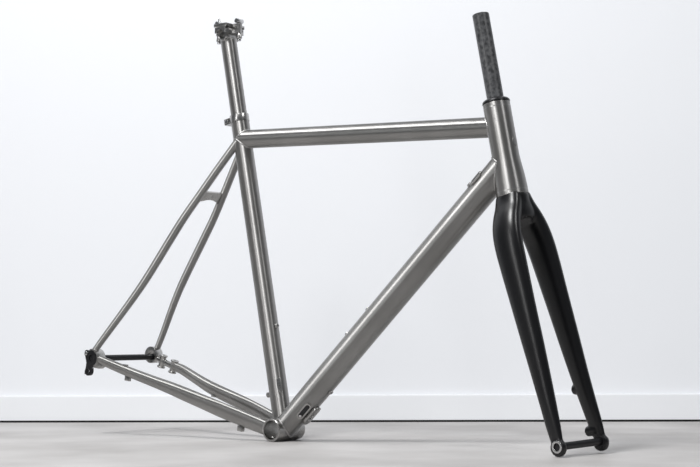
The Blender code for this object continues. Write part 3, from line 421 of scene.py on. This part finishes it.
def finish_bead(shape, rings, name, body):
    """The last ring meets the first one, turned to where its first point is nearest."""
    form = shape.form
    form.verts.ensure_lookup_table()
    steps = len(rings[0])
    first = list(form.verts)[:steps]
    last = list(form.verts)[-steps:]
    shift = min(range(steps), key=lambda k: (last[0].co - first[k].co).length)
    for i in range(steps):
        j = (i + 1) % steps
        form.faces.new((last[i], last[j], first[(j + shift) % steps], first[(i + shift) % steps]))
    shape.object(name, WELD, body, angle=70)


# --- frame tubes ------------------------------------------------------------------------
SEAT_INSIDE = within(Vector((0, 0, 0)), SEAT_DIR, SEAT_TUBE_R - 0.0003)
SHELL_INSIDE = within(Vector((0, 0, 0)), SIDE, SHELL_R - 0.0004, -SHELL_WIDTH / 2, SHELL_WIDTH / 2)


def head_outline():
    return [(HEAD_R, HEAD_LENGTH), (HEAD_R, 0.068), (0.0236, 0.058), (0.0247, 0.047),
            (0.0259, 0.035), (0.0267, 0.022), (0.0271, 0.010), (HEAD_FOOT_R, 0)]


def head_inside(p):
    offset = p - CROWN
    along = offset.dot(HEAD_DIR)
    outline = head_outline()[::-1]
    radius = np.interp(along, [h for _, h in outline], [r for r, _ in outline])
    return (offset - HEAD_DIR * along).length < radius - 0.0004


def make_head_tube():
    rows = spline([[r, h, 0] for r, h in head_outline()[1:]], 40)
    outer = [(HEAD_R - 0.0006, HEAD_LENGTH), (HEAD_R, HEAD_LENGTH - 0.0006)]
    outer += [(row[0], row[1]) for row in rows[:-1]]
    outer += [(HEAD_FOOT_R, 0.0008), (HEAD_FOOT_R - 0.0008, 0)]
    inner = [(LOWER_CUP_R, 0), (LOWER_CUP_R, LOWER_CUP_DEPTH), (HEAD_BORE_R, LOWER_CUP_DEPTH),
             (HEAD_BORE_R, UPPER_CUP_HEIGHT), (UPPER_CUP_R, UPPER_CUP_HEIGHT),
             (UPPER_CUP_R, HEAD_LENGTH)]
    Shape().turned(outer + inner, HEAD_AXIS, 96).object(
        "head_tube_surface", BRUSHED, "frame", "head_tube")
    for name, height in (("head_rim_upper", HEAD_LENGTH - 0.0078), ("head_rim_lower", 0.0072)):
        radius = HEAD_R if height > 0.1 else HEAD_FOOT_R - 0.0002
        groove = [(radius - 0.0010, height - 0.0006), (radius + 0.00012, height - 0.0006),
                  (radius + 0.00012, height + 0.0006), (radius - 0.0010, height + 0.0006)]
        Shape().turned(groove, HEAD_AXIS, 96).object(name, WELD, "frame")


def make_badge():
    """A blank plate on the front of the head tube, bent to its curve."""
    rings = []
    for scale, lift in ((1.0, -0.0004), (1.0, 0.0002), (0.94, 0.0005), (0.60, 0.0005),
                        (0.2, 0.0005)):
        ring = []
        for k in range(48):
            turn = PLATE_HALF_TURN * scale * cos(2 * pi * k / 48)
            radius = HEAD_R + lift
            height = PLATE_HEIGHT + PLATE_HALF_HEIGHT * scale * sin(2 * pi * k / 48)
            ring.append(HEAD_AXIS @ Vector((radius * cos(turn), radius * sin(turn), height)))
        rings.append(ring)
    Shape().grid(rings).object("head_plate", BADGE, "frame")


def down_rows():
    length = DOWN_FRONT.length
    stations = ((0.0, 0.0258, 0.0203), (0.030, 0.0254, 0.0210), (0.075, 0.0245, 0.0228),
                (0.130, DOWN_TUBE_R, DOWN_TUBE_R), (0.300, DOWN_TUBE_R, DOWN_TUBE_R),
                (0.560, DOWN_TUBE_R, DOWN_TUBE_R), (0.630, 0.0227, 0.0241),
                (length, 0.0226, 0.0242))
    return [[*(DOWN_DIR * along), wide, high] for along, wide, high in stations]


def make_main_tubes():
    shell = [(SHELL_BORE_R, 0.0365), (SHELL_BORE_R + 0.0006, 0.0365), (SHELL_R - 0.0007, 0.0365),
             (SHELL_R, 0.0358)]
    shell += [(r, -z) for r, z in shell[::-1]]
    shell += [(SHELL_BORE_R, -0.0200), (SHELL_BORE_R - 0.0005, -0.0196),
              (SHELL_BORE_R - 0.0005, 0.0196), (SHELL_BORE_R, 0.0200)]
    across = STAND @ frame_matrix(Vector((0, 0, 0)), SIDE, Vector((0, 0, -1)))
    Shape().turned(shell, across, 96).object(
        "shell_surface", TITANIUM, "frame", "bottom_bracket_shell")

    neck = SEAT_TUBE_LENGTH - SEAT_NECK
    seat = straight(Vector((0, 0, 0)), SEAT_DIR * neck, SEAT_TUBE_R, 90)
    seat = coped(seat, SHELL_INSIDE)
    shape = Shape().grid(stood(seat))
    shape.turned([(SEAT_NECK_R - 0.0004, SEAT_TUBE_LENGTH), (SEAT_NECK_R, SEAT_TUBE_LENGTH - 0.0004),
                  (SEAT_NECK_R, neck - 0.01), (SEAT_BORE_R, neck - 0.01),
                  (SEAT_BORE_R, SEAT_TUBE_LENGTH)], SEAT_AXIS)
    shape.object("seat_tube_surface", BRUSHED, "frame", "seat_tube")
    bead("weld_seat_shell", stood(seat)[0], "frame")

    down = coped(sections(down_rows(), 140, 80), SHELL_INSIDE, head_inside)
    Shape().grid(stood(down)).object("down_tube_surface", BRUSHED, "frame", "down_tube")
    bead("weld_down_shell", stood(down)[0], "frame", 0.0019)
    bead("weld_down_head", stood(down)[-1], "frame", 0.0020)

    top = coped(straight(TOP_REAR, TOP_FRONT, TOP_TUBE_R, 90), SEAT_INSIDE, head_inside)
    Shape().grid(stood(top)).object("top_tube_surface", BRUSHED, "frame", "top_tube")
    bead("weld_top_seat", stood(top)[0], "frame")
    bead("weld_top_head", stood(top)[-1], "frame", 0.0019)


CHAINSTAY_ROWS = [
    (-0.010, 0.0265, -0.0010, 0.0080, 0.0134), (-0.040, 0.0310, 0.0045, 0.0080, 0.0140),
    (-0.080, 0.0368, 0.0118, 0.0080, 0.0145), (-0.122, 0.0425, 0.0195, 0.0078, 0.0144),
    (-0.160, 0.0460, 0.0268, 0.0092, 0.0137), (-0.210, 0.0490, 0.0356, 0.0103, 0.0130),
    (-0.245, 0.0525, 0.0422, 0.0104, 0.0121), (-0.278, 0.0598, 0.0486, 0.0100, 0.0109),
    (-0.336, 0.0740, 0.0602, 0.0091, 0.0099),
]
CHAINSTAY_END = {
    "right": [(-0.372, 0.0812, 0.0676, 0.0086, 0.0092), (-0.399, 0.0830, 0.0724, 0.0082, 0.0087),
              (-0.419, 0.0830, 0.0758, 0.0076, 0.0080)],
    "left": [(-0.352, 0.0765, 0.0630, 0.0088, 0.0095), (-0.368, 0.0765, 0.0655, 0.0078, 0.0090)],
}
SEATSTAY_ROWS = [
    (-0.1677, 0.0086, 0.5300, 0.0076, 0.0076), (-0.1840, 0.0140, 0.5030, 0.0076, 0.0076),
    (-0.2090, 0.0226, 0.4620, 0.0076, 0.0076), (-0.2380, 0.0323, 0.4130, 0.0076, 0.0076),
    (-0.2640, 0.0402, 0.3700, 0.0077, 0.0077), (-0.2875, 0.0442, 0.3310, 0.0079, 0.0079),
    (-0.3333, 0.0508, 0.2540, 0.0078, 0.0078), (-0.3568, 0.0564, 0.2150, 0.0075, 0.0075),
    (-0.3800, 0.0649, 0.1760, 0.0071, 0.0071), (-0.4030, 0.0747, 0.1370, 0.0067, 0.0067),
    (-0.4204, 0.0815, 0.1080, 0.0064, 0.0064), (-0.4347, 0.0861, 0.0840, 0.0062, 0.0062),
]


def sided(rows, side):
    return [(row[0], row[1] * side, *row[2:]) for row in rows]


def make_stays():
    hub = REAR_AXLE
    for side, word in ((-1, "right"), (1, "left")):
        rows = sided(CHAINSTAY_ROWS + CHAINSTAY_END[word], side)
        stay = coped(sections(rows, 110), SHELL_INSIDE)
        Shape().grid(stood(stay)).object(
            "chainstay_surface_" + word, BRUSHED, "frame", "chainstay_" + word)
        bead("weld_chainstay_shell_" + word, stood(stay)[0], "frame", 0.0016)
        radius = DROPOUT_R if side < 0 else LEFT_HOOD_R
        centre = hub if side < 0 else hub + Vector((LEFT_HOOD_CENTRE.x, 0, LEFT_HOOD_CENTRE.y))
        dropout = within(centre, SIDE, radius - 0.0008)
        stay = coped(sections(sided(SEATSTAY_ROWS, side), 130, 40), SEAT_INSIDE, dropout)
        Shape().grid(stood(stay)).object(
            "seatstay_surface_" + word, BRUSHED, "frame", "seatstay_" + word)
        bead("weld_seatstay_top_" + word, stood(stay)[0], "frame", 0.0013, 0.0021)
        bead("weld_seatstay_foot_" + word, stood(stay)[-1], "frame", 0.0011, 0.0019)


# --- fork -------------------------------------------------------------------------------
LEG_ROWS = [
    (0.0000, 0.0105, -0.0010, 0.0145, 0.0245), (0.0010, 0.0180, -0.0200, 0.0143, 0.0258),
    (0.0025, 0.0288, -0.0400, 0.0150, 0.0268), (0.0045, 0.0367, -0.0620, 0.0156, 0.0274),
    (0.0075, 0.0412, -0.0880, 0.0150, 0.0271), (0.0115, 0.0432, -0.1220, 0.0142, 0.0259),
    (0.0160, 0.0446, -0.1620, 0.0132, 0.0240), (0.0207, 0.0460, -0.2030, 0.0126, 0.0220),
    (0.0264, 0.0473, -0.2520, 0.0118, 0.0199), (0.0322, 0.0489, -0.3020, 0.0109, 0.0173),
    (0.0382, 0.0513, -0.3510, 0.0098, 0.0148), (0.0430, 0.0538, -0.3900, 0.0070, 0.0134),
    (0.0464, 0.0552, -0.4170, 0.0044, 0.0108),
]
CROWN_ROWS = [
    (0.0000, 0, -0.0012, 0.0250, 0.0256), (0.0006, 0, -0.0120, 0.0284, 0.0258),
    (0.0012, 0, -0.0220, 0.0332, 0.0261), (0.0020, 0, -0.0330, 0.0385, 0.0258),
    (0.0026, 0, -0.0430, 0.0400, 0.0225), (0.0032, 0, -0.0500, 0.0380, 0.0150),
]
BRAKE_BOSSES = ((-0.330, 0.0500), (-0.400, 0.0545))
BRAKE_FACE_BEHIND = 0.0205
BRAKE_BOSS_R = 0.0085
INSERT_HOLE_R = 0.0052
TIP_INNER_Y = 0.0503
TIP_BORE_R = 0.0102
ARCH_HALF_WIDTH = 0.0180
ARCH_HALF_HEIGHT = 0.0185
ARCH_CENTRE = -0.0590


def leg_centre(height):
    rows = LEG_ROWS[::-1]
    return float(np.interp(height, [row[2] for row in rows], [row[0] for row in rows]))


def boolean(thing, other, operation):
    modifier = thing.modifiers.new(operation, "BOOLEAN")
    modifier.operation = operation
    modifier.object = other
    modifier.solver = "EXACT"
    freeze(thing)
    bpy.data.objects.remove(other, do_unlink=True)


def freeze(thing):
    """Modifiers become the mesh."""
    bpy.context.view_layer.update()
    graph = bpy.context.evaluated_depsgraph_get()
    mesh = bpy.data.meshes.new_from_object(thing.evaluated_get(graph))
    thing.modifiers.clear()
    thing.data = mesh


def loose(shape, name):
    """A scratch solid, for joining or cutting."""
    bmesh.ops.remove_doubles(shape.form, verts=shape.form.verts, dist=1e-6)
    bmesh.ops.recalc_face_normals(shape.form, faces=shape.form.faces)
    mesh = bpy.data.meshes.new(name)
    shape.form.to_mesh(mesh)
    shape.form.free()
    thing = bpy.data.objects.new(name, mesh)
    SCENE.collection.objects.link(thing)
    return thing


def rod_rings(start, end, radius, steps=32):
    direction = (end - start).normalized()
    place = frame_matrix(start, direction, direction.orthogonal())
    length = (end - start).length
    return [[place @ Vector((radius * cos(2 * pi * k / steps), radius * sin(2 * pi * k / steps),
                             height)) for k in range(steps)] for height in (0, length)]


def moulded(thing, voxel, rounds, strength=0.5):
    """Overlapping solids become one skin with soft joints."""
    remesh = thing.modifiers.new("skin", "REMESH")
    remesh.mode = "VOXEL"
    remesh.voxel_size = voxel
    soften = thing.modifiers.new("soften", "SMOOTH")
    soften.factor = strength
    soften.iterations = rounds
    freeze(thing)
    thing.data.shade_smooth()


def tip_place(side):
    return STEERING @ frame_matrix(Vector((FORK_RAKE, 0, -FORK_DROP)), SIDE * side,
                                   STEERING.to_3x3().inverted() @ Vector((0, 0, -1)))


def make_fork():
    crown = [(0, -0.0008), (HEAD_FOOT_R - 0.0010, -0.0008), (HEAD_FOOT_R - 0.0002, -0.0018),
             (0.0272, -0.0150), (0.0255, -0.0340), (0, -0.0340)]
    shape = Shape().turned(crown, STEERING, 64)
    for side in (1, -1):
        shape.grid(stood(sections(sided(LEG_ROWS, side), 90, 48, 0.9), STEERING))
        end = [(0, FORK_TIP_OUTER_Y), (FORK_RIM_R - 0.0015, FORK_TIP_OUTER_Y),
               (FORK_RIM_R, FORK_TIP_OUTER_Y - 0.0015), (FORK_RIM_R, TIP_INNER_Y + 0.0012),
               (FORK_RIM_R - 0.0012, TIP_INNER_Y), (0, TIP_INNER_Y)]
        lowered = tip_place(side) @ Matrix.Translation((FORK_TIP_DROP - FORK_RIM_R, 0, 0))
        shape.turned(end, lowered, 56)
    for height, outward in BRAKE_BOSSES:
        centre = Vector((leg_centre(height), outward, height))
        face = centre - Vector((BRAKE_FACE_BEHIND, 0, 0))
        shape.grid(stood(rod_rings(centre, face, BRAKE_BOSS_R), STEERING))
    shape.grid(stood(sections(CROWN_ROWS, 24, 64, 0.9), STEERING))
    fork = loose(shape, "fork_surface")
    moulded(fork, 0.0013, 3)
    arch = [[Vector((x, ARCH_HALF_WIDTH * cos(2 * pi * k / 48),
                     ARCH_CENTRE + ARCH_HALF_HEIGHT * sin(2 * pi * k / 48)))
             for k in range(48)] for x in (-0.05, 0.06)]
    boolean(fork, loose(Shape().grid(stood(arch, STEERING)), "arch"), "DIFFERENCE")
    moulded(fork, 0.0012, 5)
    for side in (1, -1):
        bore = [(0, 0.09), (TIP_BORE_R, 0.09), (TIP_BORE_R, 0.03), (0, 0.03)]
        boolean(fork, loose(Shape().turned(bore, tip_place(side), 40), "bore"), "DIFFERENCE")
    for height, outward in BRAKE_BOSSES:
        centre = Vector((leg_centre(height), outward, height))
        hole = rod_rings(centre - Vector((0.008, 0, 0)), centre - Vector((0.030, 0, 0)),
                         INSERT_HOLE_R)
        boolean(fork, loose(Shape().grid(stood(hole, STEERING)), "hole"), "DIFFERENCE")
    race = [(0, 0.02), (0.0200, 0.02), (0.0200, -0.0144), (0, -0.0144)]
    boolean(fork, loose(Shape().turned(race, STEERING, 64), "race"), "DIFFERENCE")
    fork.data.shade_smooth()
    fork.data.set_sharp_from_angle(angle=radians(50))
    settle(fork, CARBON, "fork", "fork_crown_and_legs")


def make_steerer():
    top = HEAD_LENGTH + STEERER_ABOVE_HEAD
    outer = [(STEERER_R - 0.0006, top), (STEERER_R, top - 0.0006), (STEERER_R, 0.0550),
             (0.0198, 0.0140), (0.0198, -0.0140)]
    inner = [(0.0170, -0.0140), (0.0170, 0.0120), (STEERER_R - STEERER_WALL, 0.0530),
             (STEERER_R - STEERER_WALL, top)]
    Shape().turned(outer + inner, STEERING, 80).object(
        "steerer_surface", STEERER, "fork", "steerer_tube")
    cover = [(0.0163, 0.1676), (0.0185, 0.1675), (0.0200, 0.1668), (0.0216, 0.1657),
             (0.0228, 0.1645), (0.0234, 0.1632), (0.0236, 0.1620), (0.0234, 0.1606),
             (0.0147, 0.1606), (0.0147, 0.1670), (0.0150, 0.1676)]
    Shape().turned(cover, STEERING, 88).object(
        "headset_cover_surface", ALLOY, "fork", "headset_top_cover")


# --- seatpost ---------------------------------------------------------------------------
def make_seatpost():
    low = SEAT_DIR * (CLAMP_ON_SEAT - POST_LENGTH)
    barrel = within(CLAMP_CENTRE, SIDE, BARREL_R - 0.0002)
    post = coped(straight(low, SEAT_DIR * (CLAMP_ON_SEAT + 0.006), POST_R, 90), None,
                 lambda p: barrel(p) or p.z > CLAMP_CENTRE.z - 0.004)
    Shape().grid(stood(post)).object("seatpost_surface", BRUSHED, "seatpost", "seatpost_tube")
    bead("weld_post_head", stood(post)[-1], "seatpost", 0.0013, 0.0021)
    across = STAND @ frame_matrix(CLAMP_CENTRE, SIDE, Vector((1, 0, 0)))
    outer = [(BARREL_R - 0.0008, BARREL_HALF_WIDTH), (BARREL_R, BARREL_HALF_WIDTH - 0.0008),
             (BARREL_R, 0.0008 - BARREL_HALF_WIDTH), (BARREL_R - 0.0008, -BARREL_HALF_WIDTH)]
    inner = [(BARREL_BORE_R, -BARREL_HALF_WIDTH), (BARREL_BORE_R, BARREL_HALF_WIDTH)]
    Shape().turned(outer + inner, across, 64).object(
        "barrel_surface", TITANIUM, "seatpost", "seatpost_barrel")


# --- the small parts keep their CAD shape, with rounded edges ---------------------------
def dress_nodes():
    for name, node in frame["nodes"].items():
        if node.hide_render:
            continue
        node.data.materials.clear()
        node.data.materials.append(BY_SLOT[SLOT_OF[name]])
        weld = node.modifiers.new("weld", "WELD")
        weld.merge_threshold = 0.00001
        bevel = node.modifiers.new("edges", "BEVEL")
        bevel.width = 0.0004
        bevel.segments = 3
        bevel.limit_method = "ANGLE"
        bevel.angle_limit = radians(32)
        bevel.harden_normals = True
        node.data.shade_smooth()


# --- room, light and camera ---------------------------------------------------------------
CAMERA = Vector((1.75507, -2.17025, 0.19101))
YAW = radians(37.77)
RISE = radians(3.83)
ROLL = radians(-0.40)
LENS = 79.328
LENS_SHIFT = (-0.01281, -0.00116)
SENSOR = 36.0
AWAY = Vector((-sin(YAW), cos(YAW), 0))
ACROSS = Vector((cos(YAW), sin(YAW), 0))


WALL_DEPTH = 3.47
WALL_TURN = radians(-5.6)
SKIRTING_HEIGHT = 0.060
SKIRTING_DEPTH = 0.012
# Height of the painted shadow strip along the foot of the baseboard.
SHADOW_STRIP_HEIGHT = 0.0045


def stage_panel(name, size, matrix, material):
    bpy.ops.mesh.primitive_plane_add(size=1)
    panel = bpy.context.object
    panel.name = name
    panel.data.transform(Matrix.Diagonal((size[0], size[1], 1, 1)))
    panel.matrix_world = matrix
    panel.data.materials.append(material)


def make_room():
    wall, shader = new_material("wall_paint", (0.62, 0.63, 0.65), 0.0, 0.8)
    shader.inputs["Emission Color"].default_value = (0.93, 0.955, 1.0, 1)
    shader.inputs["Emission Strength"].default_value = 0.33
    floor, shader = new_material("floor_concrete", (0.5, 0.49, 0.48), 0.0, 0.55)
    cloudy = add_noise(floor, 3.5, 6.0)
    tint(floor, cloudy, shader.inputs["Base Color"], (0.40, 0.385, 0.375), (0.56, 0.545, 0.535))
    board, shader = new_material("baseboard_paint", (0.62, 0.63, 0.65), 0.0, 0.45)
    shader.inputs["Emission Color"].default_value = (0.95, 0.97, 1.0, 1)
    shader.inputs["Emission Strength"].default_value = 0.33
    foot = Vector((CAMERA.x, CAMERA.y, 0)) + AWAY * WALL_DEPTH
    facing = Matrix((ACROSS, Vector((0, 0, 1)), -AWAY)).transposed().to_4x4()
    upright = Matrix.Rotation(WALL_TURN, 4, "Z") @ facing
    stage_panel("wall", (9, 4), Matrix.Translation(foot + Vector((0, 0, 2))) @ upright, wall)
    level = Matrix.Translation((0, 0, -0.0004)) @ Matrix.Rotation(YAW, 4, "Z")
    stage_panel("floor", (9, 9), level, floor)
    bpy.ops.mesh.primitive_cube_add(size=1)
    skirting = bpy.context.object
    skirting.name = "baseboard"
    skirting.data.transform(Matrix.Diagonal((9, SKIRTING_HEIGHT, SKIRTING_DEPTH, 1)))
    middle = foot - AWAY * SKIRTING_DEPTH / 2 + Vector((0, 0, SKIRTING_HEIGHT / 2))
    skirting.matrix_world = Matrix.Translation(middle) @ upright
    bevel = skirting.modifiers.new("edge", "BEVEL")
    bevel.width = 0.003
    bevel.segments = 3
    skirting.data.materials.append(board)
    # A thin black panel under the baseboard's foot: painted shadow where the board meets the floor, standing in
    # for shade.
    shadow_strip = foot - AWAY * (SKIRTING_DEPTH + 0.0015) + Vector((0, 0, 0.0018))
    stage_panel("painted_shadow_strip", (9, SHADOW_STRIP_HEIGHT), Matrix.Translation(shadow_strip) @ upright, PAINTED_SHADE)


def make_light(name, place, target, size, energy):
    data = bpy.data.lights.new(name, "AREA")
    data.shape = "RECTANGLE"
    data.size, data.size_y = size
    data.energy = energy
    light = bpy.data.objects.new(name, data)
    light.location = place
    light.rotation_mode = "QUATERNION"
    light.rotation_quaternion = (target - place).to_track_quat("-Z", "Y")
    SCENE.collection.objects.link(light)


def seen_from(centre, left, rise, distance):
    """A point around the object: left of the camera's direction and above the floor, degrees."""
    left = radians(left)
    rise = radians(rise)
    level = -AWAY * cos(left) - ACROSS * sin(left)
    return centre + (level * cos(rise) + Vector((0, 0, 1)) * sin(rise)) * distance


def make_lights():
    centre = Vector((0.0, 0.0, 0.35))
    make_light("key", seen_from(centre, 36, 57, 2.4), centre, (0.60, 0.60), 46)
    make_light("low_left", seen_from(centre, 42, 16, 2.4), centre, (0.35, 1.30), 9)
    make_light("fill_right", seen_from(centre, -46, 42, 2.3), centre, (0.35, 0.50), 9)
    make_light("wall_wash", centre - AWAY * 0.1 - ACROSS * 1.0 + Vector((0, 0, 2.6)),
               centre + AWAY * 0.9 - ACROSS * 0.6 + Vector((0, 0, 0.3)), (2.5, 0.6), 12)
    world = bpy.data.worlds.new("room")
    world.use_nodes = True
    world.node_tree.nodes["Background"].inputs["Color"].default_value = (0.80, 0.84, 0.90, 1)
    world.node_tree.nodes["Background"].inputs["Strength"].default_value = 0.15
    SCENE.world = world


def make_camera():
    data = bpy.data.cameras.new("camera")
    data.sensor_width = SENSOR
    data.lens = LENS
    data.shift_x, data.shift_y = LENS_SHIFT
    camera = bpy.data.objects.new("camera", data)
    SCENE.collection.objects.link(camera)
    forward = Vector((AWAY.x * cos(RISE), AWAY.y * cos(RISE), sin(RISE)))
    up = ACROSS.cross(forward)
    turned_right = ACROSS * cos(ROLL) + up * sin(ROLL)
    turned_up = up * cos(ROLL) - ACROSS * sin(ROLL)
    place = Matrix((turned_right, turned_up, -forward)).transposed().to_4x4()
    place.translation = CAMERA
    camera.matrix_world = place
    SCENE.camera = camera


make_head_tube()
make_badge()
make_main_tubes()
make_stays()
make_fork()
make_steerer()
make_seatpost()
dress_nodes()
make_room()
make_lights()
make_camera()
SCENE.view_settings.view_transform = "Standard"
